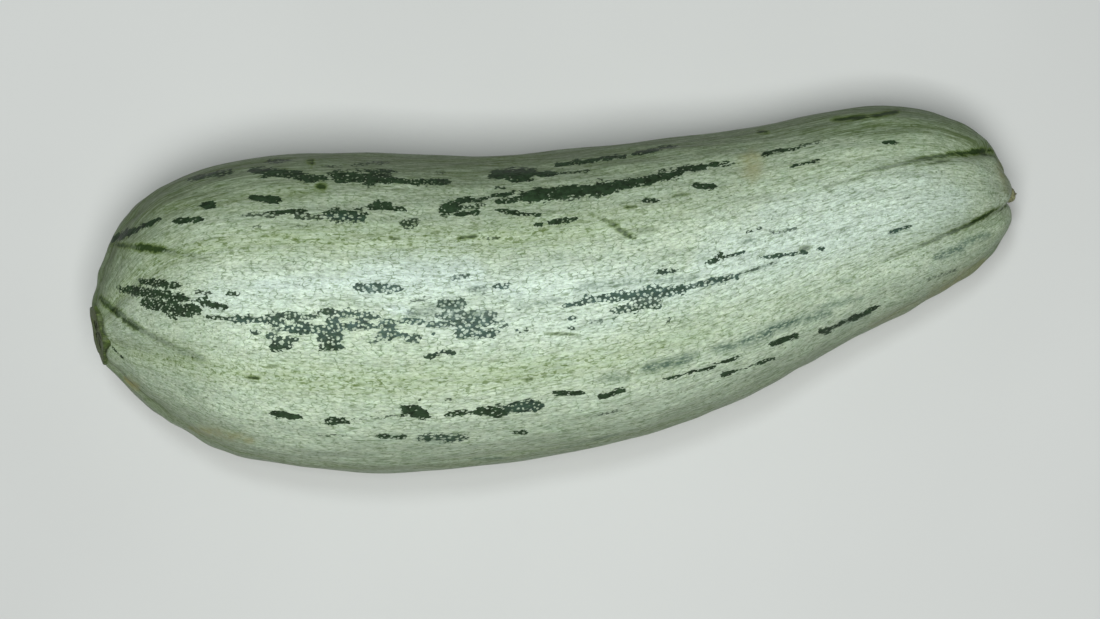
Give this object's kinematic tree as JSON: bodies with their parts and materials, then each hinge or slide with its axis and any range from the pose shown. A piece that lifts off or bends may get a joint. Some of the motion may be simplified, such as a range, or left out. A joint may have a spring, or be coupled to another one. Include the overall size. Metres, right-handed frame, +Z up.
{
  "type": "zucchini",
  "caption": "Full-grown striped zucchini lying on its side: a bent, tapering fruit with furrows gathering at both ends, a cut stem and a dry blossom scar.",
  "frame": {"origin": "centre of the underside of the bounding box, on the surface that the fruit lies on", "axes": "+X along the fruit from the cut stem to the blossom end, +Y to the side that it bends towards, +Z up"},
  "size_m": [0.3018, 0.1198, 0.0987],
  "materials": {
    "skin": "satin, waxy",
    "stem_rind": "dull, freshly cut",
    "scar_cork": "dry, matt"
  },
  "bodies": {
    "root": {"fruit": "skin", "cut_stem": "stem_rind", "blossom_scar": "scar_cork"}
  },
  "joints": []
}
